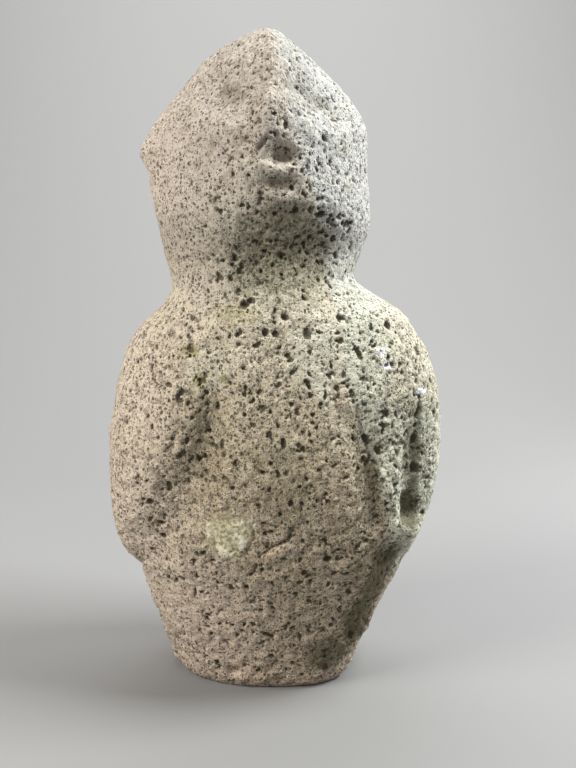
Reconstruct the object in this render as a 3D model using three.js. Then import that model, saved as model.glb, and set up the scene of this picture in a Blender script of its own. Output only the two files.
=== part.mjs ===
// A standing figure carved from one block of pitted volcanic stone: a head with a
// gabled crown, hanging arms in low relief and a trunk that tapers to a flat foot.
// Millimetres, +Z up, +X to the viewer's right, and the face looks along -Y.
// The origin is the middle of the flat underside.

import * as THREE from 'three';

// Driving dimensions. All lengths after these two are shares of the height.
const HEIGHT = 360;
const FOOT_EDGE_RADIUS = 3;

// How the surface is divided: levels from foot to crown in bands, and steps around
// the front and the back, drawn together at the sides.
const FRONT_STEPS = 44;
const BACK_STEPS = 16;
const SIDE_FLATTENING = 0.8;
const FOOT_EDGE_LEVELS = 3;
const LEVEL_BANDS = [
  { upTo: 0.2, levels: 6 },
  { upTo: 0.55, levels: 29 },
  { upTo: 0.72, levels: 11 },
  { upTo: 0.85, levels: 19 },
  { upTo: 0.975, levels: 11 },
  { upTo: 0.997, levels: 3 },
];

// Each outline runs from foot to crown. A point is a height and a reach from the axis.
const LEFT_OUTLINE = [
  [0, 0.14], [0.055, 0.163], [0.142, 0.1885], [0.175, 0.196],
  [0.19, 0.2], [0.202, 0.209], [0.214, 0.223], [0.236, 0.233],
  [0.292, 0.243], [0.389, 0.243], [0.472, 0.229], [0.528, 0.214],
  [0.566, 0.192], [0.597, 0.156], [0.628, 0.139], [0.68, 0.15],
  [0.74, 0.162], [0.786, 0.17], [0.825, 0.175], [0.844, 0.172],
  [0.903, 0.131], [0.969, 0.068], [1, 0.012],
];
const RIGHT_OUTLINE = [
  [0, 0.132], [0.055, 0.163], [0.119, 0.19], [0.183, 0.22],
  [0.244, 0.248], [0.308, 0.269], [0.389, 0.279], [0.467, 0.273],
  [0.525, 0.255], [0.561, 0.234], [0.589, 0.213], [0.608, 0.183],
  [0.628, 0.152], [0.644, 0.139], [0.672, 0.147], [0.728, 0.163],
  [0.764, 0.161], [0.797, 0.157], [0.85, 0.157], [0.872, 0.15],
  [0.903, 0.13], [0.969, 0.062], [1, 0.023],
];
const FRONT_OUTLINE = [
  [0, 0.095], [0.055, 0.113], [0.183, 0.15], [0.25, 0.164],
  [0.35, 0.172], [0.458, 0.165], [0.583, 0.149], [0.64, 0.136],
  [0.675, 0.132], [0.72, 0.143], [0.77, 0.155], [0.833, 0.16],
  [0.875, 0.152], [0.917, 0.133], [0.958, 0.103], [0.986, 0.068],
  [1, 0.03],
];
const BACK_OUTLINE = [
  [0, 0.092], [0.083, 0.108], [0.183, 0.125], [0.319, 0.139],
  [0.444, 0.144], [0.542, 0.139], [0.633, 0.118], [0.694, 0.12],
  [0.792, 0.133], [0.861, 0.125], [0.931, 0.094], [0.972, 0.061],
  [1, 0.02],
];

// The line down the middle of the front, as a height and a place across.
const MIDLINE = [
  [0, 0], [0.36, 0.017], [0.64, 0.011], [0.8, 0.012],
  [0.85, 0.0105], [0.89, 0.0155], [0.96, 0.0175], [1, 0.006],
];

// How square each level is: 2 is an ellipse, less makes a prow, more fills the corners.
const LEFT_SQUARENESS = [
  [0, 2], [0.3, 2.35], [0.6, 2.25], [0.7, 1.9], [0.77, 1.65], [0.84, 1.4], [1, 1.35],
];
const RIGHT_SQUARENESS = [
  [0, 3], [0.12, 2.4], [0.6, 2.3], [0.7, 1.9], [0.77, 1.65], [0.84, 1.4], [1, 1.35],
];
const BACK_SQUARENESS = [[0, 2.6], [0.3, 2.4], [0.6, 2.3], [0.75, 2.1], [1, 1.9]];

// Carving on the front. A stroke runs through its points, across and up, and is
// hollowed to its depth along the middle and out to its width. A ridge has a
// depth below zero. A fade is the share of the length over which it sinks in.
const EYES = [
  { points: [[-0.056, 0.902], [-0.03, 0.895]], width: 0.05, depth: 0.006 },
  { points: [[0.052, 0.908], [0.092, 0.878]], width: 0.042, depth: 0.008 },
  { points: [[-0.08, 0.855], [-0.035, 0.86]], width: 0.045, depth: -0.004 },
  { points: [[0.075, 0.856], [0.108, 0.845]], width: 0.04, depth: -0.005 },
];
const NOSE = [
  { points: [[0.013, 0.915], [0.01, 0.845]], width: 0.03, depth: -0.007, fade: 0.5 },
  { points: [[0.012, 0.848], [0.022, 0.83], [0.031, 0.817]], width: 0.021, depth: 0.01, fade: 0.6 },
  { points: [[0.022, 0.816], [0.044, 0.814]], width: 0.018, depth: 0.006 },
];
const MOUTH = [
  { points: [[0, 0.803], [0.03, 0.799], [0.058, 0.801]], width: 0.022, depth: -0.0045 },
  { points: [[0.014, 0.779], [0.036, 0.779]], width: 0.018, depth: 0.006 },
  { points: [[0.012, 0.756], [0.058, 0.756]], width: 0.026, depth: -0.004 },
];
const THROAT = [
  { points: [[0.005, 0.675], [0.075, 0.68]], width: 0.085, depth: 0.02 },
];
const LEFT_ARM = [
  {
    points: [[-0.05, 0.53], [-0.078, 0.44], [-0.099, 0.37], [-0.13, 0.305], [-0.17, 0.25]],
    width: 0.055,
    depth: 0.021,
    fade: 0.45,
  },
  {
    points: [[-0.165, 0.5], [-0.18, 0.41], [-0.195, 0.32], [-0.205, 0.25]],
    width: 0.05,
    depth: -0.006,
    fade: 0.4,
  },
];
const RIGHT_ARM = [
  {
    points: [[0.12, 0.51], [0.15, 0.43], [0.163, 0.36], [0.178, 0.31]],
    width: 0.038,
    depth: 0.016,
    fade: 0.45,
  },
  {
    points: [[0.17, 0.4], [0.186, 0.358], [0.196, 0.305], [0.212, 0.27]],
    width: 0.028,
    depth: -0.008,
    fade: 0.3,
  },
  {
    points: [[0.231, 0.5], [0.232, 0.42], [0.23, 0.365], [0.224, 0.3]],
    width: 0.036,
    depth: 0.017,
    fade: 0.6,
  },
  { points: [[0.212, 0.268], [0.228, 0.272]], width: 0.028, depth: -0.006 },
  { points: [[0.185, 0.235], [0.2, 0.22]], width: 0.036, depth: 0.012 },
];
const CARVING = [...EYES, ...NOSE, ...MOUTH, ...THROAT, ...LEFT_ARM, ...RIGHT_ARM];

// The ear is a small knob on the left of the head.
const EAR = { up: 0.827, out: 0.009, tall: 0.026, deep: 0.055 };

const STONE = new THREE.MeshStandardMaterial({
  name: 'vesicular stone',
  color: 0xa39c8d,
  roughness: 0.92,
  metalness: 0,
});

// The slope of a smooth line at each of its points, which never overshoots them.
function slopesOf(line) {
  const rises = [];
  for (let i = 1; i < line.length; i += 1) {
    rises.push((line[i][1] - line[i - 1][1]) / (line[i][0] - line[i - 1][0]));
  }
  return line.map((_, i) => {
    if (i === 0) return rises[0];
    if (i === line.length - 1) return rises[i - 1];
    const before = rises[i - 1];
    const after = rises[i];
    return before * after > 0 ? (2 * before * after) / (before + after) : 0;
  });
}

// A function of height that runs smoothly through the points of a line.
function smoothLine(line) {
  const slopes = slopesOf(line);
  return (height) => {
    const at = THREE.MathUtils.clamp(height, 0, 1);
    let i = 1;
    while (i < line.length - 1 && line[i][0] < at) i += 1;
    const span = line[i][0] - line[i - 1][0];
    const t = (at - line[i - 1][0]) / span;
    const rise = t * t * (3 - 2 * t);
    return (
      line[i - 1][1] * (1 - rise) +
      line[i][1] * rise +
      span * t * (1 - t) * (slopes[i - 1] * (1 - t) - slopes[i] * t)
    );
  };
}

const outline = {
  left: smoothLine(LEFT_OUTLINE),
  right: smoothLine(RIGHT_OUTLINE),
  front: smoothLine(FRONT_OUTLINE),
  back: smoothLine(BACK_OUTLINE),
  middle: smoothLine(MIDLINE),
  leftSquareness: smoothLine(LEFT_SQUARENESS),
  rightSquareness: smoothLine(RIGHT_SQUARENESS),
  backSquareness: smoothLine(BACK_SQUARENESS),
};

// A soft bump: one in the middle, and nothing from a distance of one outwards.
function swell(away) {
  return (1 - Math.min(away * away, 1)) ** 2;
}

// How deep a stroke cuts at a place across and up the front.
function cutBy(stroke, across, up) {
  const legs = stroke.points.length - 1;
  let nearest = Infinity;
  let passed = 0;
  for (let i = 0; i < legs; i += 1) {
    const [x0, z0] = stroke.points[i];
    const [x1, z1] = stroke.points[i + 1];
    const length2 = (x1 - x0) ** 2 + (z1 - z0) ** 2;
    const along = ((across - x0) * (x1 - x0) + (up - z0) * (z1 - z0)) / length2;
    const t = THREE.MathUtils.clamp(along, 0, 1);
    const away = Math.hypot(across - x0 - t * (x1 - x0), up - z0 - t * (z1 - z0));
    if (away < nearest) {
      nearest = away;
      passed = (i + t) / legs;
    }
  }
  const sunk = stroke.fade ? THREE.MathUtils.smoothstep(passed, 0, stroke.fade) : 1;
  return stroke.depth * sunk * swell(nearest / stroke.width);
}

// How far the foot's rounded edge draws the surface in near the underside.
function footEdgeInset(level) {
  const below = Math.max(0, FOOT_EDGE_RADIUS - level);
  return FOOT_EDGE_RADIUS - Math.sqrt(FOOT_EDGE_RADIUS ** 2 - below ** 2);
}

// The point of the surface at a level in millimetres and a direction around.
function surfacePoint(level, direction) {
  const up = level / HEIGHT;
  const middle = outline.middle(up);
  const toRight = Math.cos(direction);
  const toFront = Math.sin(direction);
  const side = toRight < 0 ? outline.left(up) + middle : outline.right(up) - middle;
  const end = toFront > 0 ? outline.front(up) : outline.back(up);
  let square = outline.backSquareness(up);
  if (toFront > 0) square = toRight < 0 ? outline.leftSquareness(up) : outline.rightSquareness(up);
  const spread = (Math.abs(toRight) / side) ** square + (Math.abs(toFront) / end) ** square;
  let reach = spread ** (-1 / square);
  if (toRight < 0) {
    reach += EAR.out * swell((up - EAR.up) / EAR.tall) * swell((reach * toFront) / EAR.deep);
  }
  if (toFront > 0) {
    const across = middle + reach * toRight;
    for (const stroke of CARVING) reach -= cutBy(stroke, across, up);
  }
  const length = reach * HEIGHT - footEdgeInset(level);
  return [middle * HEIGHT + length * toRight, -length * toFront, level];
}

// Levels from the underside up to the rim of the crown, in millimetres.
function levelsUp() {
  const levels = [];
  for (let i = 0; i < FOOT_EDGE_LEVELS; i += 1) {
    levels.push(FOOT_EDGE_RADIUS * (1 - Math.cos((i / FOOT_EDGE_LEVELS) * (Math.PI / 2))));
  }
  let from = FOOT_EDGE_RADIUS;
  for (const band of LEVEL_BANDS) {
    const to = band.upTo * HEIGHT;
    for (let i = 0; i < band.levels; i += 1) levels.push(from + ((to - from) * i) / band.levels);
    from = to;
  }
  levels.push(from);
  return levels;
}

// Directions around the axis, closer together on the carved front than on the back.
function directionsAround() {
  const turns = [];
  for (let i = 0; i < FRONT_STEPS; i += 1) turns.push((i / FRONT_STEPS) * Math.PI);
  for (let i = 0; i < BACK_STEPS; i += 1) turns.push((1 + i / BACK_STEPS) * Math.PI);
  return turns.map((turn) => Math.atan2(SIDE_FLATTENING * Math.sin(turn), Math.cos(turn)));
}

// One closed skin: a wall of levels, a flat underside and a low cap on the crown.
function figureGeometry() {
  const levels = levelsUp();
  const directions = directionsAround();
  const points = levels.flatMap((level) => directions.map((way) => surfacePoint(level, way)));
  const foot = points.push([outline.middle(0) * HEIGHT, 0, 0]) - 1;
  const crown = points.push([outline.middle(1) * HEIGHT, 0, HEIGHT]) - 1;
  const steps = directions.length;
  const corner = (ring, step) => ring * steps + (step % steps);
  const faces = [];
  for (let step = 0; step < steps; step += 1) {
    for (let ring = 1; ring < levels.length; ring += 1) {
      const low = corner(ring - 1, step);
      const lowNext = corner(ring - 1, step + 1);
      const high = corner(ring, step);
      const highNext = corner(ring, step + 1);
      faces.push(low, high, lowNext, lowNext, high, highNext);
    }
    faces.push(foot, corner(0, step), corner(0, step + 1));
    faces.push(crown, corner(levels.length - 1, step + 1), corner(levels.length - 1, step));
  }
  const geometry = new THREE.BufferGeometry();
  geometry.setAttribute('position', new THREE.Float32BufferAttribute(points.flat(), 3));
  geometry.setIndex(faces);
  geometry.computeVertexNormals();
  return geometry;
}

const figure = new THREE.Mesh(figureGeometry(), STONE);
figure.name = 'stone_figure';

const group = new THREE.Group();
group.add(figure);

export default group;
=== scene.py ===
import math

import bpy
import numpy as np
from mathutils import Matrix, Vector
from mathutils.kdtree import KDTree


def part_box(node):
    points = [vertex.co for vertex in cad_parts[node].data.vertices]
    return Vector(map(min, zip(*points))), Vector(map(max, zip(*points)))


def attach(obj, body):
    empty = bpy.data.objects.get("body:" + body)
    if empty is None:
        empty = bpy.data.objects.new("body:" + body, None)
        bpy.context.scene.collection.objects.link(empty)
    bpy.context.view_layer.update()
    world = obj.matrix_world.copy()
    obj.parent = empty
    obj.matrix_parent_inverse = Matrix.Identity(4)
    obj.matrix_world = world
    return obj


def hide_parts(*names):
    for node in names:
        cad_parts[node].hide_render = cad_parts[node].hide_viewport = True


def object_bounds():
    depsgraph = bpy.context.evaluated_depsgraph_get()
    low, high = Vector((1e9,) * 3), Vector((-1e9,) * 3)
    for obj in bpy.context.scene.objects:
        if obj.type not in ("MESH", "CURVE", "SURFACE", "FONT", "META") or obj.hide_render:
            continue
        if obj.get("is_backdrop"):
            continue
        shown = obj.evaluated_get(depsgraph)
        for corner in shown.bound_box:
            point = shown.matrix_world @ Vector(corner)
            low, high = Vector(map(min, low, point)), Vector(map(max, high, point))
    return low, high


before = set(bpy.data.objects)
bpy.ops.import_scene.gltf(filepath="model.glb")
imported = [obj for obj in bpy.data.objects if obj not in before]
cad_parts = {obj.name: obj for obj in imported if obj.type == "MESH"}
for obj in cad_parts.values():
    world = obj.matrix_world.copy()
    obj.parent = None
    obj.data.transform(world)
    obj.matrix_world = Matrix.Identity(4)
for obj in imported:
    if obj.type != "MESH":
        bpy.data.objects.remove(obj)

cad_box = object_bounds()

# The block. The figure is one boulder of vesicular basalt, pecked to shape with a
# harder stone and then ground, so its planes are full and every edge is worn round.
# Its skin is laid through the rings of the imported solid, closest on the front.
MM = 0.001
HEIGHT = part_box("stone_figure")[1].z
COLUMNS = 768
LEVEL_STEP = 0.65 * MM
FRONT_SHARE = 0.25
SIDE_SHARE = 0.12
SAME_LEVEL = 0.02 * MM
LEAST_REACH = 1 * MM


def rings_of(node):
    """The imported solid's rings from foot to rim: each height, with its angles and reaches."""
    places = np.array([v.co for v in node.data.vertices])
    places = np.unique(np.round(places, 6), axis=0)
    heights = np.unique(np.round(places[:, 2], 5))
    rings = []
    for height in heights:
        ring = places[np.abs(places[:, 2] - height) < SAME_LEVEL]
        reach = np.hypot(ring[:, 0], ring[:, 1])
        ring, reach = ring[reach > LEAST_REACH], reach[reach > LEAST_REACH]
        if len(ring) > 2:
            angle = np.arctan2(ring[:, 1], ring[:, 0])
            order = np.argsort(angle)
            rings.append((height, angle[order], reach[order]))
    return rings


def smooth_through(at, known, where):
    """Values on the smooth curve that passes through the known ones."""
    slopes = np.gradient(known, at, axis=0)
    low = np.clip(np.searchsorted(at, where) - 1, 0, len(at) - 2)
    spread = (-1,) + (1,) * (known.ndim - 1)
    span = (at[low + 1] - at[low]).reshape(spread)
    t = ((where - at[low]) / span.ravel()).reshape(spread)
    rise = t * t * (3 - 2 * t)
    bow = span * t * (1 - t) * (slopes[low] * (1 - t) - slopes[low + 1] * t)
    return known[low] * (1 - rise) + known[low + 1] * rise + bow


def lay_skin(node):
    """The smooth skin as a grid of places: levels up by columns around."""
    turn = np.linspace(0, 2 * np.pi, COLUMNS, endpoint=False)
    angle = turn - FRONT_SHARE * np.sin(turn) + SIDE_SHARE * np.sin(2 * turn) - np.pi / 2
    wrapped = (angle + np.pi) % (2 * np.pi) - np.pi
    rings = rings_of(node)
    reaches = []
    for _, known_angle, reach in rings:
        around = np.concatenate([known_angle - 2 * np.pi, known_angle, known_angle + 2 * np.pi])
        reaches.append(smooth_through(around, np.tile(reach, 3), wrapped))
    heights = np.array([height for height, _, _ in rings])
    levels = np.linspace(heights[0], heights[-1], round((heights[-1] - heights[0]) / LEVEL_STEP))
    reach = smooth_through(heights, np.array(reaches), levels)
    skin = np.empty((len(levels), COLUMNS, 3))
    skin[..., 0] = reach * np.cos(angle)
    skin[..., 1] = reach * np.sin(angle)
    skin[..., 2] = levels[:, None]
    return skin


def facing(skin):
    """The way out of the stone at each place of the skin."""
    around = np.roll(skin, -1, axis=1) - np.roll(skin, 1, axis=1)
    outward = np.cross(around, np.gradient(skin, axis=0))
    return outward / np.linalg.norm(outward, axis=2, keepdims=True)


skin = lay_skin(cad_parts["stone_figure"])
outward = facing(skin)
front = skin[..., 1] < 0

# The carving. Shallow strokes of a stone point sharpen what the block carries: the
# cut under the nose, the lips, the valleys beside the arms and the two old cracks.
# Each stroke is a line of places across and up the front, its half width and depth,
# all in millimetres. A depth below zero raises the stone instead.
FACE_STROKES = [
    ([(6.4, 349), (6.3, 336), (6, 322), (4.5, 311), (3.5, 305)], 5, -1.8),
    ([(4.5, 303.5), (2, 299.5), (-0.5, 296)], 1.7, 2.6),
    ([(15, 303), (17.5, 296)], 5, -1.6),
    ([(2, 294), (3, 291)], 3, 0.9),
    ([(5, 293.5), (12, 292.5), (18, 292.5)], 2, 1.2),
    ([(5, 281), (13, 280.5)], 2.6, 1.3),
    ([(16, 282), (22, 281)], 4, -0.8),
    ([(2, 266.5), (15, 267.5)], 4, 1.2),
    ([(-17, 296.5), (-9, 299), (-3, 300.5)], 1.4, 0.6),
    ([(16, 329), (26, 322.5), (36, 316)], 5, 1.3),
    ([(-18, 323), (-8, 324)], 6, 1.1),
    ([(16, 328), (14, 316), (12, 308)], 3, 0.6),
]
ARM_STROKES = [
    ([(48, 171), (53, 153), (57, 143), (60, 133), (62, 122)], 2.2, 1.4),
    ([(54, 138), (59, 128), (63, 116)], 5, 2.4),
    ([(61, 137), (65.5, 129), (68.5, 118), (71, 104), (75, 100)], 3, -2),
    ([(83, 165), (81, 147), (81.5, 131), (79, 117)], 3.2, 2),
    ([(79.5, 119), (78.5, 110), (79, 104)], 6, 4.5),
    ([(67, 81.5), (70.5, 84), (73.5, 88.5)], 5, 3),
    ([(-21, 184), (-25, 165), (-31, 145), (-41, 121)], 10, 2.2),
    ([(-40, 178), (-43, 160), (-47, 142)], 2.6, 0.9),
]
CRACKS = [
    ([(-2, 90), (6, 96), (14, 100), (16.5, 107.5)], 1.3, 3),
    ([(-4.5, 108), (-3.5, 101), (-9, 91)], 1.3, 1.4),
    ([(-28, 107), (-24, 115), (-14, 117)], 1.1, 0.7),
    ([(32, 185), (37, 178), (39, 168)], 1.4, 0.8),
    ([(-38, 68), (-32, 69), (-29, 66)], 1.2, 0.8),
]
LUMPS = [
    ([(0, 90), (15, 95)], 7, -2.6),
    ([(-17, 97), (-16, 110)], 12, -0.8),
    ([(-21, 12), (-13, 11)], 5.5, 2.4),
    ([(32, 89), (37, 87)], 4, 0.9),
]
END_SHARE = 0.25


def cut_along(stroke, skin, front):
    """How deep one stroke goes at each place of the skin: less towards its ends."""
    points, half_width, depth = stroke
    nearest = np.full(front.shape, np.inf)
    passed = np.zeros(front.shape)
    for leg, ((x0, z0), (x1, z1)) in enumerate(zip(points, points[1:])):
        run = np.array([x1 - x0, z1 - z0]) * MM
        off = skin[..., [0, 2]] - np.array([x0, z0]) * MM
        t = np.clip(off @ run / (run @ run), 0, 1)
        away = np.linalg.norm(off - t[..., None] * run, axis=-1)
        passed = np.where(away < nearest, (leg + t) / (len(points) - 1), passed)
        nearest = np.minimum(nearest, away)
    share = np.clip(nearest / (half_width * MM), 0, 1)
    taper = np.clip(END_SHARE + 4 * passed * (1 - passed), 0, 1)
    return np.where(front, taper * depth * MM * (1 - share**2) ** 2, 0)


for stroke in FACE_STROKES + ARM_STROKES + CRACKS + LUMPS:
    skin -= cut_along(stroke, skin, front)[..., None] * outward

# The worn surface. Weather and handling left the ground planes gently uneven, and
# broke the skin into coarse grains between the vesicles, most of all near the foot.
WAVES = [(30, 0.6), (13, 0.4), (5.5, 0.42), (2.6, 0.46)]
ROUGHNESS_AT_FOOT = 1.8
ROUGHNESS_AT_HEAD = 0.5
HEAD_LEVEL = 0.75 * HEIGHT
FOOT_FADE = 6 * MM
LATTICE_TURN = np.array([[0.8, 0.36, -0.48], [0, 0.8, 0.6], [0.6, -0.48, 0.64]])


def uneven(places, lump, seed):
    """Smooth random heights from -1 to 1, with lumps about as wide as lump."""
    cells = places / lump
    low = np.floor(cells).astype(int)
    part = cells - low
    part = part * part * (3 - 2 * part)
    low -= low.min(axis=0)
    lattice = np.random.default_rng(seed).uniform(-1, 1, low.max(axis=0) + 2)
    height = np.zeros(len(places))
    for corner in np.ndindex(2, 2, 2):
        weight = np.prod(np.where(corner, part, 1 - part), axis=1)
        height += weight * lattice[tuple((low + corner).T)]
    return height


tilted = skin.reshape(-1, 3) @ LATTICE_TURN
foot_fade = np.clip(skin[..., 2] / FOOT_FADE, 0, 1)
head_share = np.clip(skin[..., 2] / HEAD_LEVEL, 0, 1)
roughness = ROUGHNESS_AT_FOOT + (ROUGHNESS_AT_HEAD - ROUGHNESS_AT_FOOT) * head_share
roughness *= foot_fade
for seed, (wavelength, swell) in enumerate(WAVES):
    wave = uneven(tilted, wavelength * MM, seed).reshape(front.shape)
    skin += (wave * roughness * swell * MM)[..., None] * outward

# The vesicles. Gas bubbles in the lava left ragged holes all over, cut open by the
# carving: thousands of small ones, thickest on the throat and the right side, and
# those that the photograph shows one by one.
SMALL_VESICLES = 7400
SMALL_RADII = (0.55, 1.4)
SMALL_STRETCH = (1, 1.7)
MOSTLY_SMALL = 3
DEPTH_SHARES = (0.8, 1.5)
RIM_FADE = 2 * MM
RAGGED = [(2.4, 0.6), (1.1, 0.4)]
BACK_OFFSET = 10
SCATTER_SEED = 11
DEPTH_SEED = 12
RAGGED_SEED = 40

# Where the small ones crowd: across, up, how far the crowd reaches, and how much
# thicker they lie in the middle of it, or thinner where the number is below zero.
CROWDED = [
    (16, 252, 26, 1.6), (62, 175, 26, 0.8), (75, 135, 22, 1.2), (-30, 152, 18, 0.6),
    (30, 60, 40, 0.5), (70, 142, 12, 1.6), (5, 168, 32, 0.4), (-30, 310, 40, -0.35),
    (-16.5, 103.5, 12, -1.6),
]

# Each vesicle shown: its place across and up, its half width and half height, and
# how many degrees its top leans to the right.
FACE_VESICLES = [
    (-3, 333.5, 1, 1, 0), (4.5, 333.5, 1, 1, 0), (-37.5, 325, 1, 1.3, 0),
    (-15, 323.5, 1.3, 1.3, 0), (-12.5, 326, 1, 1, 0), (7, 313.5, 1.5, 1.3, 0),
    (11, 316, 1, 1.3, 0), (15, 316, 1, 2.1, -20), (13, 308, 1.3, 2.6, 10),
    (19.5, 314, 1.3, 1, 0), (19.5, 299.5, 1.3, 1, 0), (32, 303, 2.3, 2.1, 0),
    (-46, 308, 1, 1, 0), (-13, 285.5, 1.3, 1.8, 0), (14, 287, 2.1, 0.8, 0),
    (15.5, 278.5, 1.3, 1.3, 0), (21.5, 276, 1.6, 1.9, 0), (36, 281.5, 1, 1, 0),
    (41.5, 277.5, 1.3, 1.3, 0), (43, 285, 1, 1.3, 0), (17.5, 268, 2.1, 2.4, 0),
    (25, 268, 1.6, 1.9, 0), (30.5, 266, 2.4, 2.1, 0), (34.5, 262.5, 1.4, 1.9, 0),
    (45, 260.5, 1.3, 2.6, 15), (37, 253.5, 1.9, 2.4, 0), (31.5, 257, 1.8, 1.8, 0),
    (31.5, 241, 1.3, 1.5, 0), (45.5, 233.5, 1.4, 1.9, 0), (-19.5, 267, 1.3, 1.5, 0),
    (-5.5, 270, 1.3, 1.3, 0), (-22, 273, 1, 1.3, 0), (-8, 241.5, 1, 1.5, 0),
    (-13.5, 239, 1, 1.5, 0), (-21.5, 242, 1, 1.3, 0), (0, 238, 1, 1.3, 0),
    (-22, 233.5, 1, 1.3, 0), (-47.5, 255, 1, 1, 0),
]
SHOULDER_VESICLES = [
    (-8, 221.5, 2.2, 2.7, 0), (-4.5, 223.5, 2.2, 2.1, 0), (12.5, 215.5, 2.3, 1.8, 0),
    (2, 208, 1.8, 1.8, 0), (7.5, 207, 1.9, 1.8, 0), (23.5, 207.5, 2.1, 3.2, 0),
    (40, 214.5, 1.6, 2.1, 0), (40, 203.5, 2.2, 1.6, 0), (66, 209, 2.4, 2.2, 0),
    (74.5, 206.5, 1.3, 1.3, 0), (49.5, 197.5, 1.6, 4.6, -24), (83, 194, 1.9, 2.6, 0),
    (-36, 198.5, 2.3, 1.8, 30), (31.5, 191.5, 1.8, 1, 0), (22.5, 183.5, 1.3, 1.5, 0),
    (-21.5, 193, 1, 1.3, 0), (-16, 193.5, 1, 1.3, 0), (50.5, 202.5, 1.3, 1, 0),
]
TRUNK_VESICLES = [
    (-42, 175, 1.5, 4.6, 28), (-27.5, 171, 1.4, 1.4, 0), (-31, 183, 1.8, 1.8, 0),
    (12, 151.5, 1.5, 2.9, 0), (-20.5, 149.5, 1.3, 3.4, 0), (-42, 143.5, 1.5, 2.9, 25),
    (-38.5, 151, 1.5, 2.1, 10), (-48.5, 125, 1.3, 3.1, 10), (54, 152, 2, 2.1, 0),
    (60.5, 145.5, 1.7, 3.2, -30), (81, 147.5, 1.7, 3.3, 0), (81.5, 131.5, 1.7, 2.8, 0),
    (83, 163.5, 1.5, 3.6, 0), (1, 169, 1, 1.5, 0), (5, 168, 1, 1.3, 0),
    (33.5, 143, 1, 1.3, 0), (25.5, 153, 1, 1.3, 0), (14, 177, 1, 1.3, 0),
    (-59, 116.5, 2.1, 2.3, 0), (-53.5, 95.5, 1.9, 1.6, 0), (-55, 103.5, 2.1, 1.5, 0),
    (15, 120.5, 1.6, 1.6, 0), (34.5, 88, 2.6, 2.1, 20), (-31, 91, 1.8, 1.5, 0),
    (-47, 70, 1.4, 1.9, 0), (-16.5, 71, 1.1, 2.9, -25), (-37, 64, 1.1, 4, 10),
    (-30.5, 47.5, 1.4, 1.4, 0), (1.5, 39.5, 2.4, 1.4, 10), (16, 19, 1.6, 1.4, 0),
    (-27, 17, 1.4, 2.2, 0), (8, 42, 1.5, 1, 0),
]


def crowding(places):
    """How thick the small vesicles lie at each place: 1 where they are sparse."""
    dense = np.ones(len(places))
    for x, z, wide, more in CROWDED:
        away = np.hypot(places[:, 0] - x * MM, places[:, 2] - z * MM) / (wide * MM)
        dense += np.where(places[:, 1] < 0, more * np.exp(-(away**2)), 0)
    return np.clip(dense, 0.02, None)


def scattered_vesicles(skin):
    """The small vesicles: which place of the skin each is on, its half sizes and its lean."""
    rng = np.random.default_rng(SCATTER_SEED)
    places = skin.reshape(-1, 3)
    beside = np.linalg.norm(np.roll(skin, -1, axis=1) - skin, axis=2).ravel()
    dense = crowding(places)
    chance = beside * dense
    for i in rng.choice(len(places), SMALL_VESICLES, replace=False, p=chance / chance.sum()):
        widest = SMALL_RADII[1] * min(1, 0.4 + 0.5 * dense[i])
        radius = SMALL_RADII[0] + (widest - SMALL_RADII[0]) * rng.random() ** MOSTLY_SMALL
        yield i, radius, radius * rng.uniform(*SMALL_STRETCH), rng.uniform(-90, 90)


def shown_vesicles(skin):
    """The vesicles that the photograph shows, in the same form."""
    places = skin.reshape(-1, 3)
    across = places[:, 0] + BACK_OFFSET * (places[:, 1] > 0)
    for x, z, half_width, half_height, lean in FACE_VESICLES + SHOULDER_VESICLES + TRUNK_VESICLES:
        off = np.hypot(across - x * MM, places[:, 2] - z * MM)
        yield int(np.argmin(off)), half_width, half_height, lean


def open_vesicles(skin, outward):
    """How deep the vesicles go at each place of the skin."""
    rng = np.random.default_rng(DEPTH_SEED)
    places, ways = skin.reshape(-1, 3), outward.reshape(-1, 3)
    ragged = np.zeros_like(places)
    for lump, shift in RAGGED:
        for axis in range(3):
            ragged[:, axis] += shift * MM * uneven(tilted, lump * MM, RAGGED_SEED + axis)
    tree = KDTree(len(places))
    for i, place in enumerate(places):
        tree.insert(place, i)
    tree.balance()
    depth = np.zeros(len(places))
    for i, half_width, half_height, lean in [*scattered_vesicles(skin), *shown_vesicles(skin)]:
        level = np.cross([0, 0, 1], ways[i])
        level /= np.linalg.norm(level)
        steep = np.cross(ways[i], level)
        lean = math.radians(lean)
        along = math.cos(lean) * steep + math.sin(lean) * level
        sideways = math.cos(lean) * level - math.sin(lean) * steep
        reach = max(half_width, half_height) * MM + ragged.max()
        near = [found[1] for found in tree.find_range(places[i], reach)]
        away = places[near] + ragged[near] - places[i]
        share = (away @ along / (half_height * MM)) ** 2
        share += (away @ sideways / (half_width * MM)) ** 2
        deepest = rng.uniform(*DEPTH_SHARES) * min(half_width, half_height) * MM
        depth[near] = np.maximum(depth[near], deepest * np.sqrt(np.clip(1 - share, 0, 1)))
    return depth.reshape(skin.shape[:2])


pits = open_vesicles(skin, outward) * np.clip(skin[..., 2] / RIM_FADE, 0, 1)
skin -= pits[..., None] * outward

# The closed stone. The skin is closed by the flat underside and the worn crown, and
# thinned to what a library part may hold, with the vesicles keeping their faces.
MOST_FACES = 192_000
UNDERSIDE = 0.7 * MM
MAP_AROUND = 1.03
MAP_FOOT = 0.22
MAP_TALL = 0.77
MAP_UNDERSIDE = 0.1
MAP_UNDERSIDE_SPAN = 0.75 * HEIGHT


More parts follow.
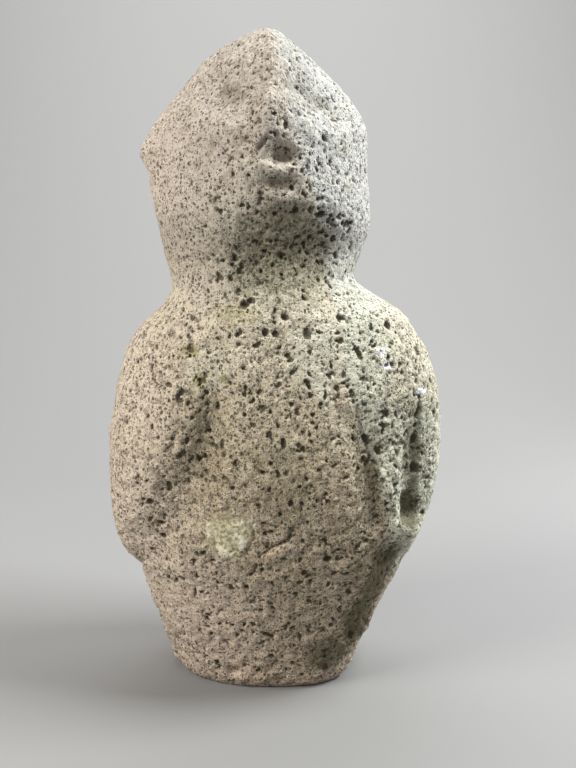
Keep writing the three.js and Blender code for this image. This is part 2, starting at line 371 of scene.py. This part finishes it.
def close_stone(skin, pits):
    """The whole stone as one mesh object, with the depth of its holes stored on it."""
    levels = len(skin)
    places = skin.reshape(-1, 3)
    crown = places[-COLUMNS:].mean(axis=0)
    crown[2] = HEIGHT
    foot = places[:COLUMNS].mean(axis=0)
    foot[2] = 0
    corner = np.arange(levels * COLUMNS).reshape(levels, COLUMNS)
    after = np.roll(corner, -1, axis=1)
    walls = np.stack([corner[:-1], after[:-1], after[1:], corner[1:]], axis=-1).reshape(-1, 4)
    faces = walls.tolist()
    crown_at, foot_at = len(places), len(places) + 1
    for i in range(COLUMNS):
        faces.append((crown_at, int(corner[-1, i]), int(after[-1, i])))
        faces.append((foot_at, int(after[0, i]), int(corner[0, i])))
    mesh = bpy.data.meshes.new("stone_figure_surface")
    mesh.from_pydata(np.vstack([places, crown, foot]).tolist(), [], faces)
    stored = mesh.attributes.new("hole_depth", "FLOAT", "POINT")
    stored.data.foreach_set("value", np.append(pits.ravel() / MM, [0, 0]).astype(np.float32))
    stone = bpy.data.objects.new("stone_figure_surface", mesh)
    bpy.context.scene.collection.objects.link(stone)
    return stone


def apply_modifiers(piece):
    """The piece with its modifiers made real."""
    shaped = piece.evaluated_get(bpy.context.evaluated_depsgraph_get())
    piece.data = bpy.data.meshes.new_from_object(shaped)
    piece.modifiers.clear()


stone = close_stone(skin, pits)
thin = stone.modifiers.new("thin", "DECIMATE")
thin.ratio = MOST_FACES / (2 * len(stone.data.polygons) - 2 * COLUMNS)
thin.use_collapse_triangulate = True
apply_modifiers(stone)
stone.data.shade_smooth()


def unroll(mesh):
    """A map that unrolls the stone once around, parted at the back, with the underside apart."""
    places = np.empty(len(mesh.vertices) * 3)
    mesh.vertices.foreach_get("co", places)
    places = places.reshape(-1, 3)
    corners = np.empty(len(mesh.loops), int)
    mesh.loops.foreach_get("vertex_index", corners)
    at = places[corners].reshape(-1, 3, 3)
    around = np.arctan2(at[..., 0], -at[..., 1]) / (2 * np.pi) + 0.5
    wide = np.ptp(around, axis=1) > 0.5
    around[wide] += around[wide] < 0.5
    up = MAP_FOOT + MAP_TALL * at[..., 2] / HEIGHT
    flat = np.stack([around / MAP_AROUND, up], axis=-1)
    under = at[..., 2].max(axis=1) < UNDERSIDE
    flat[under] = MAP_UNDERSIDE + at[under][..., :2] / MAP_UNDERSIDE_SPAN
    unrolled = mesh.uv_layers.new(name="OFBake")
    unrolled.data.foreach_set("uv", flat.ravel())


unroll(stone.data)


# The stone's colour. Fresh basalt is dark, but this skin is weathered: pinkish on the left,
# greenish white on the right and browner low down, with a mineral patch on the belly and a
# few lichen spots. The paler sides are partly painted light, the pale chest is painted light,
# the darker crown is partly painted shade, and the dark in the holes, on the throat, in the
# face's hollows, beside the arms and on the lower right flank is painted shade with some dirt.
class Wire:
    """A value on its way through a material: sums on wires add the nodes for them."""

    tree = None

    def __init__(self, socket):
        self.socket = socket

    @classmethod
    def node(cls, kind, settings, sockets, output=0):
        """The wire out of a new node, with its settings made and its sockets fed."""
        made = cls.tree.nodes.new(kind)
        for name, value in settings.items():
            if name == "stops":
                while len(made.color_ramp.elements) < len(value):
                    made.color_ramp.elements.new(0.5)
                for stop, (at, colour) in zip(made.color_ramp.elements, value):
                    stop.position = at
                    stop.color = (*colour, 1)
            else:
                setattr(made, name, value)
        for name, value in sockets.items():
            if isinstance(value, Wire):
                cls.tree.links.new(value.socket, made.inputs[name])
            else:
                made.inputs[name].default_value = value
        return cls(made.outputs[output]) if made.outputs else None

    def sum_with(self, operation, other, swapped=False):
        """The wire out of a maths node on this wire and another value."""
        pair = {0: other, 1: self} if swapped else {0: self, 1: other}
        return Wire.node("ShaderNodeMath", {"operation": operation}, pair)

    def __add__(self, other):
        return self.sum_with("ADD", other)

    def __sub__(self, other):
        return self.sum_with("SUBTRACT", other)

    def __rsub__(self, other):
        return self.sum_with("SUBTRACT", other, swapped=True)

    def __mul__(self, other):
        return self.sum_with("MULTIPLY", other)

    __radd__ = __add__
    __rmul__ = __mul__


def between(value, low, high):
    """0 up to low, 1 from high, and smooth between them."""
    limits = {"Value": value, "From Min": low, "From Max": high}
    return Wire.node("ShaderNodeMapRange", {"interpolation_type": "SMOOTHSTEP"}, limits)


def tint(mask, under, over):
    """The colour over laid on the colour under where the mask is 1."""
    under = under if isinstance(under, Wire) else (*under, 1)
    over = over if isinstance(over, Wire) else (*over, 1)
    colours = {0: mask, 6: under, 7: over}
    return Wire.node("ShaderNodeMix", {"data_type": "RGBA"}, colours, 2)


def mottle(place, lump, detail=3):
    """Soft random patches, from 0 to 1, about as wide as lump."""
    return Wire.node(
        "ShaderNodeTexNoise", {}, {"Vector": place, "Scale": 0.5 / lump, "Detail": detail}
    )


PATCH_EDGE = (0.55, 1.15)


def patch(place, centre, radii, ragged):
    """1 in the middle of an oval patch, and 0 from its ragged edge outwards."""
    off = Wire.node("ShaderNodeVectorMath", {"operation": "SUBTRACT"}, {0: place, 1: centre})
    share = Wire.node("ShaderNodeVectorMath", {"operation": "DIVIDE"}, {0: off, 1: radii})
    away = Wire.node("ShaderNodeVectorMath", {"operation": "LENGTH"}, {0: share}, "Value")
    return 1 - between(away + ragged, *PATCH_EDGE)


LOT_EDGE = 0.02


def pores(place, spacing, size, share):
    """Small holes: 1 inside them. Only that share of the cells has one."""
    cells = {"Vector": place, "Scale": 1 / spacing, "Randomness": 1}
    near = Wire.node("ShaderNodeTexVoronoi", {}, cells, "Distance")
    lot = Wire.node("ShaderNodeTexVoronoi", {}, cells, "Color")
    lot = Wire.node("ShaderNodeSeparateXYZ", {}, {0: lot}, 0)
    present = between(lot, 1 - share - LOT_EDGE, 1 - share + LOT_EDGE)
    return (1 - between(near, size * 0.6, size)) * present


# Dark olive painted shade, with some dirt, for the hollows, the grooves and the shaded flank.
DIRT_AND_PAINTED_SHADE = (0.10, 0.09, 0.047)
LICHEN = (0.36, 0.33, 0.15)
# Bare tan stone; on the belly bulge it serves as a painted highlight.
BARE_STONE_AND_PAINTED_HIGHLIGHT = (0.60, 0.47, 0.34)
# Pale pinkish stone, partly painted light from the left.
PINKISH_STONE_AND_PAINTED_LIGHT = (0.70, 0.58, 0.47)
# Painted light: a pale colour laid on the chest where it faces up.
CHEST_PAINTED_LIGHT = (0.72, 0.73, 0.60)

# Each patch: its centre, how far it reaches across, in and up, its colour, and how
# much of it shows. Some are the stone's own stains, lichen and bare stone; others are
# painted light and painted shade.
STAINS_AND_PAINTED_LIGHT_AND_SHADE = [
    # Painted light: pale patches on the chest where it faces up.
    ((0.036, -0.05, 0.194), (0.022, 0.03, 0.026), CHEST_PAINTED_LIGHT, 0.55),
    ((-0.028, -0.05, 0.188), (0.014, 0.03, 0.014), CHEST_PAINTED_LIGHT, 0.25),
    # Pinkish stone with painted light on the low left.
    ((-0.035, -0.05, 0.045), (0.042, 0.05, 0.042), PINKISH_STONE_AND_PAINTED_LIGHT, 0.4),
    # Painted shade with some dirt: on the left of the neck, in the left valley, on the middle of
    # the belly, in the grooves beside and under the right arm, on the lower right flank, under
    # the left arm, under the nose, in the mouth, under the lower lip and in the eye hollows.
    ((-0.042, -0.03, 0.250), (0.028, 0.04, 0.020), DIRT_AND_PAINTED_SHADE, 0.25),
    ((-0.028, -0.05, 0.150), (0.013, 0.03, 0.036), DIRT_AND_PAINTED_SHADE, 0.25),
    ((0.012, -0.06, 0.130), (0.016, 0.03, 0.030), DIRT_AND_PAINTED_SHADE, 0.3),
    ((0.066, -0.035, 0.078), (0.010, 0.03, 0.014), DIRT_AND_PAINTED_SHADE, 0.75),
    ((0.060, -0.035, 0.060), (0.010, 0.03, 0.018), DIRT_AND_PAINTED_SHADE, 0.85),
    ((0.056, -0.035, 0.086), (0.014, 0.03, 0.014), DIRT_AND_PAINTED_SHADE, 0.35),
    ((0.053, -0.035, 0.040), (0.012, 0.03, 0.020), DIRT_AND_PAINTED_SHADE, 0.9),
    ((0.037, -0.035, 0.024), (0.016, 0.03, 0.014), DIRT_AND_PAINTED_SHADE, 0.75),
    ((0.079, -0.033, 0.106), (0.009, 0.02, 0.014), DIRT_AND_PAINTED_SHADE, 0.85),
    ((0.080, -0.035, 0.140), (0.007, 0.02, 0.034), DIRT_AND_PAINTED_SHADE, 0.6),
    ((0.059, -0.05, 0.146), (0.005, 0.02, 0.014), DIRT_AND_PAINTED_SHADE, 0.35),
    ((0.054, -0.05, 0.128), (0.007, 0.02, 0.014), DIRT_AND_PAINTED_SHADE, 0.25),
    ((0.071, -0.036, 0.084), (0.009, 0.02, 0.012), DIRT_AND_PAINTED_SHADE, 0.5),
    ((-0.072, -0.03, 0.082), (0.012, 0.02, 0.006), DIRT_AND_PAINTED_SHADE, 0.3),
    ((0.012, -0.053, 0.294), (0.008, 0.02, 0.005), DIRT_AND_PAINTED_SHADE, 0.2),
    ((0.010, -0.053, 0.281), (0.009, 0.02, 0.004), DIRT_AND_PAINTED_SHADE, 0.35),
    ((0.010, -0.053, 0.272), (0.018, 0.02, 0.007), DIRT_AND_PAINTED_SHADE, 0.2),
    ((-0.014, -0.040, 0.323), (0.009, 0.02, 0.006), DIRT_AND_PAINTED_SHADE, 0.35),
    ((0.017, -0.034, 0.327), (0.008, 0.02, 0.005), DIRT_AND_PAINTED_SHADE, 0.3),
    ((0.027, -0.034, 0.320), (0.009, 0.02, 0.005), DIRT_AND_PAINTED_SHADE, 0.35),
    ((-0.036, -0.05, 0.198), (0.006, 0.02, 0.0035), LICHEN, 0.7),
    ((-0.031, -0.053, 0.183), (0.004, 0.02, 0.004), LICHEN, 0.7),
    ((-0.013, -0.05, 0.2165), (0.012, 0.02, 0.006), LICHEN, 0.4),
    ((-0.0185, -0.056, 0.1845), (0.003, 0.02, 0.003), LICHEN, 0.7),
    # A painted highlight on the belly bulge, then bare stone: a tan patch and a chip by the foot.
    ((0.009, -0.06, 0.0925), (0.008, 0.02, 0.005), BARE_STONE_AND_PAINTED_HIGHLIGHT, 0.45),
    ((0.040, -0.055, 0.176), (0.005, 0.02, 0.008), BARE_STONE_AND_PAINTED_HIGHLIGHT, 0.45),
    ((-0.010, -0.045, 0.012), (0.010, 0.02, 0.006), BARE_STONE_AND_PAINTED_HIGHLIGHT, 0.3),
]
THROAT_PLACE, THROAT_RADII = (0.013, -0.045, 0.246), (0.034, 0.03, 0.03)
# The throat's colour: painted shade under the chin, with some dirt.
THROAT_DIRT_AND_PAINTED_SHADE = (0.145, 0.142, 0.08)
MINERAL_PLACE, MINERAL_RADII = (-0.0165, -0.058, 0.1035), (0.0145, 0.03, 0.015)
MINERAL, PALE_MINERAL, CRYSTAL = (0.38, 0.335, 0.20), (0.68, 0.63, 0.44), (0.92, 0.89, 0.72)
SHELL_CHIPS = [(0.062, -0.044, 0.196), (0.084, -0.035, 0.173), (0.065, -0.0445, 0.1895)]
SHELL_RADII, SHELL = (0.0036, 0.02, 0.0027), (0.86, 0.87, 0.86)
# Right-side tints: partly the stone's colour, partly painted light; the grey crown is partly
# painted shade.
RIGHT_TRUNK, RIGHT_HEAD = (0.66, 0.69, 0.56), (0.57, 0.585, 0.575)
RIGHT_CROWN = (0.41, 0.42, 0.415)
BLOTCH = (0.27, 0.22, 0.155)
PALE_CLOT, DARK_CLOT = (0.70, 0.65, 0.53), (0.16, 0.13, 0.095)
PALE_GRAIN, DARK_GRAIN = (0.68, 0.62, 0.50), (0.14, 0.115, 0.085)
PALE_FLECK, DARK_FLECK = (0.80, 0.75, 0.64), (0.09, 0.075, 0.055)
# The dark of the pores and holes is painted shade inside them, with some dirt.
FINE_PORE, WIDE_PORE, HOLE_DIRT_AND_PAINTED_SHADE = (0.105, 0.085, 0.054), (0.078, 0.063, 0.037), (0.062, 0.05, 0.029)
WOBBLE = (1.4 * MM, 1.4 * MM, 1.4 * MM)
RELIEF_DEPTH = 1.3 * MM
PALE_EDGE_AT_FOOT = 0.0855
PALE_EDGE_LEAN = 0.23 * HEIGHT
# Colour by height: browner and darker on the belly, lighter across the chest, darker again at the
# crown. The lighter chest is partly painted light; the darker belly and crown are partly painted
# shade.
BY_HEIGHT = [
    (0.0, (0.60, 0.46, 0.34)),
    (0.12, (0.50, 0.385, 0.275)),
    (0.26, (0.40, 0.315, 0.21)),
    (0.42, (0.46, 0.38, 0.245)),
    (0.53, (0.64, 0.56, 0.41)),
    (0.60, (0.62, 0.56, 0.43)),
    (0.72, (0.50, 0.45, 0.385)),
    (0.84, (0.48, 0.425, 0.37)),
    (0.97, (0.38, 0.335, 0.295)),
]

stone_finish = bpy.data.materials.new("weathered_basalt")
stone_finish.use_nodes = True
Wire.tree = stone_finish.node_tree
Wire.tree.nodes.clear()

place = Wire.node("ShaderNodeTexCoord", {}, {}, "Object")
side = Wire.node("ShaderNodeSeparateXYZ", {}, {0: place}, 0)
inward = Wire.node("ShaderNodeSeparateXYZ", {}, {0: place}, 1)
height = Wire.node("ShaderNodeSeparateXYZ", {}, {0: place}, 2) * (1 / HEIGHT)
cloud = mottle(place, 22 * MM)
blotch = mottle(place, 6 * MM)
clot = mottle(place, 2.4 * MM, detail=2)
grain = mottle(place, 0.9 * MM, detail=2)
fleck = mottle(place, 0.32 * MM, detail=1)

wandering = height + (cloud - 0.5) * 0.25
colour = Wire.node("ShaderNodeValToRGB", {"stops": BY_HEIGHT}, {0: wandering})
# Paler and pinkish towards the left, less on the head: partly the stone's colour, partly painted
# light from the left.
to_left = between(0 - side + (cloud - 0.5) * 0.08, 15 * MM, 75 * MM)
on_head = between(height, 0.55, 0.7)
on_trunk = 1.4 - on_head * 0.8
colour = tint(to_left * (0.8 - on_head * 0.35), colour, PINKISH_STONE_AND_PAINTED_LIGHT)
# The right side is tinted greenish white, strongest in front, greyer at the crown and weaker on
# the shoulder: partly the stone's colour, partly painted light from the right, with the grey
# crown partly painted shade.
past_edge = side + height * PALE_EDGE_LEAN - PALE_EDGE_AT_FOOT + (blotch - 0.5) * 0.008
in_front = between(0 - inward, -35 * MM, 15 * MM)
to_right = between(past_edge + (cloud - 0.5) * 0.02, 0, 5 * MM) * (0.25 + in_front * 0.75)
pale_side = tint(on_head, RIGHT_TRUNK, RIGHT_HEAD)
pale_side = tint(between(height, 0.84, 0.98), pale_side, RIGHT_CROWN)
on_shoulder = between(side, 54 * MM, 76 * MM) * between(height, 0.42, 0.5)
colour = tint(to_right * (0.88 - on_shoulder * 0.5), colour, pale_side)
# The throat is painted dark: painted shade under the chin, with some dirt.
throat = patch(place, THROAT_PLACE, THROAT_RADII, (blotch - 0.5) * 0.5)
colour = tint(throat * 0.8, colour, THROAT_DIRT_AND_PAINTED_SHADE)
colour = tint(between(blotch, 0.48, 0.72) * 0.3, colour, BLOTCH)
colour = tint(between(clot, 0.5, 0.66) * 0.25, colour, PALE_CLOT)
colour = tint(between(0 - clot, -0.46, -0.34) * on_trunk * 0.45, colour, DARK_CLOT)
colour = tint(between(grain, 0.48, 0.66) * 0.3, colour, PALE_GRAIN)
colour = tint(between(0 - grain, -0.46, -0.32) * on_trunk * 0.4, colour, DARK_GRAIN)
colour = tint(between(fleck, 0.54, 0.66) * on_trunk * 0.35, colour, PALE_FLECK)
colour = tint(between(0 - fleck, -0.44, -0.32) * on_trunk * 0.35, colour, DARK_FLECK)
frayed = (blotch - 0.5) * 0.7 + (grain - 0.5) * 0.8
for centre, radii, patch_colour, share in STAINS_AND_PAINTED_LIGHT_AND_SHADE:
    colour = tint(patch(place, centre, radii, frayed) * share, colour, patch_colour)

mineral = patch(place, MINERAL_PLACE, MINERAL_RADII, frayed)
crystals = tint(between(grain, 0.42, 0.56), MINERAL, PALE_MINERAL)
crystals = tint(between(clot, 0.54, 0.62) * 0.9, crystals, CRYSTAL)
colour = tint(mineral * 0.9, colour, crystals)
for chip in SHELL_CHIPS:
    shell = patch(place, chip, SHELL_RADII, (grain - 0.5) * 1.2)
    colour = tint(shell, colour, SHELL)

wobble = Wire.node(
    "ShaderNodeTexNoise", {}, {"Vector": place, "Scale": 0.5 / (0.9 * MM)}, "Color"
)
bending = {0: wobble, 1: WOBBLE, 2: place}
bent = Wire.node("ShaderNodeVectorMath", {"operation": "MULTIPLY_ADD"}, bending)
wide_pores = pores(bent, 2.3 * MM, 0.38, 0.45) * (1 - mineral)
fine_pores = pores(bent, 1.1 * MM, 0.42, 0.5) * (1 - mineral)
# Pores and vesicle holes are painted dark, the deeper holes darker: painted shade inside them,
# with some dirt.
hole_depth = Wire.node("ShaderNodeAttribute", {"attribute_name": "hole_depth"}, {}, "Fac")
hole_dirt_and_painted_shade = between(hole_depth + (fleck - 0.5) * 0.6, 0.15, 1.1)
colour = tint(fine_pores * 0.7, colour, FINE_PORE)
colour = tint(wide_pores * 0.75, colour, WIDE_PORE)
colour = tint(hole_dirt_and_painted_shade * 0.82, colour, HOLE_DIRT_AND_PAINTED_SHADE)

relief = clot * 1.1 + grain * 0.5 + fleck * 0.22 - wide_pores * 0.6 - fine_pores * 0.35
lift = {"Strength": 1.0, "Distance": RELIEF_DEPTH, "Height": relief}
normal = Wire.node("ShaderNodeBump", {}, lift)
rough = 0.86 + grain * 0.14
finish = {"Base Color": colour, "Roughness": rough, "Normal": normal, "Specular IOR Level": 0.25}
shader = Wire.node("ShaderNodeBsdfPrincipled", {}, finish)
Wire.node("ShaderNodeOutputMaterial", {}, {"Surface": shader})
stone.data.materials.clear()
stone.data.materials.append(stone_finish)
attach(stone, "root")
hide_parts("stone_figure")

# The floor is a plain pale studio sweep, which curves up into the wall behind.
SWEEP_HALF_WIDTH = 4
SWEEP_FRONT = -4
SWEEP_BEND = 0.35
SWEEP_RADIUS = 0.9
SWEEP_TOP = 4
BEND_STEPS = 24
PAPER_GREY = (0.27, 0.27, 0.27, 1)

profile = [(SWEEP_FRONT, 0)]
for step in range(BEND_STEPS + 1):
    turn = math.pi / 2 * step / BEND_STEPS
    back, up = math.sin(turn), 1 - math.cos(turn)
    profile.append((SWEEP_BEND + SWEEP_RADIUS * back, SWEEP_RADIUS * up))
profile.append((SWEEP_BEND + SWEEP_RADIUS, SWEEP_TOP))
floor_places = [(x, y, z) for y, z in profile for x in (-SWEEP_HALF_WIDTH, SWEEP_HALF_WIDTH)]
floor_faces = [(2 * i, 2 * i + 1, 2 * i + 3, 2 * i + 2) for i in range(len(profile) - 1)]
floor_mesh = bpy.data.meshes.new("floor")
floor_mesh.from_pydata(floor_places, [], floor_faces)
floor_mesh.shade_smooth()
floor = bpy.data.objects.new("floor", floor_mesh)
bpy.context.scene.collection.objects.link(floor)
paper = bpy.data.materials.new("pale_paper")
paper.use_nodes = True
Wire.tree = paper.node_tree
Wire.tree.nodes.clear()
matt = Wire.node("ShaderNodeBsdfPrincipled", {}, {"Base Color": PAPER_GREY, "Roughness": 0.9})
Wire.node("ShaderNodeOutputMaterial", {}, {"Surface": matt})
floor_mesh.materials.append(paper)
floor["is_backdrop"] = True

# Studio light: a warm soft box high on the left and a neutral one on the right light
# the flanks, with a weak high one in front, so the trunk is darker, as photographed.
# A small low box rims the right flank, and a wide one lights the wall behind.
FIGURE = (0, 0, 0.2)
FLANK = (0.06, 0, 0.05)
WALL = (0, 1.3, 0.8)
LIGHTS = [
    ("left_box", (-0.84, -0.49, 0.72), 0.45, 12, (1.0, 0.95, 0.89), FIGURE),
    ("right_box", (0.62, -0.06, 1.05), 0.4, 17, (0.98, 1.0, 0.99), FIGURE),
    ("top_box", (0.15, -0.9, 1.0), 0.6, 2.5, (1.0, 1.0, 0.97), FIGURE),
    ("rim_box", (0.55, 0.25, 0.06), 0.2, 1.6, (0.98, 1.0, 0.98), FLANK),
    ("wall_box", (0, 0.7, 1.5), 1.2, 26, (1.0, 1.0, 1.0), WALL),
]
ROOM_COLOUR = (0.85, 0.87, 0.9, 1)
ROOM_STRENGTH = 0.05
for name, spot, width, power, lamp_colour, aim in LIGHTS:
    lamp = bpy.data.lights.new(name, "AREA")
    lamp.size = width
    lamp.energy = power
    lamp.color = lamp_colour
    soft_box = bpy.data.objects.new(name, lamp)
    soft_box.location = spot
    soft_box.rotation_euler = (Vector(aim) - Vector(spot)).to_track_quat("-Z", "Y").to_euler()
    bpy.context.scene.collection.objects.link(soft_box)
room = bpy.data.worlds.new("room")
room.use_nodes = True
room.node_tree.nodes["Background"].inputs["Color"].default_value = ROOM_COLOUR
room.node_tree.nodes["Background"].inputs["Strength"].default_value = ROOM_STRENGTH
bpy.context.scene.world = room
bpy.context.scene.view_settings.view_transform = "Standard"

# The camera stands where the photograph was taken from: a little above the figure's
# shoulders, looking down at it.
PHOTO_TALL = 768
FOCAL_PIXELS = 900
SENSOR = 36
NEAREST = 0.01
CAMERA_PLACE = (13.8 * MM, -500.6 * MM, 276.5 * MM)
LOOKS_DOWN = 12
camera_data = bpy.data.cameras.new("camera")
camera_data.sensor_width = SENSOR
camera_data.lens = FOCAL_PIXELS / PHOTO_TALL * SENSOR
camera_data.clip_start = NEAREST
camera = bpy.data.objects.new("camera", camera_data)
camera.location = CAMERA_PLACE
camera.rotation_euler = (math.radians(90 - LOOKS_DOWN), 0, 0)
bpy.context.scene.collection.objects.link(camera)
bpy.context.scene.camera = camera

boxes = {"cad": cad_box, "visual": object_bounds()}
{name: [list(corner) for corner in box] for name, box in boxes.items()}
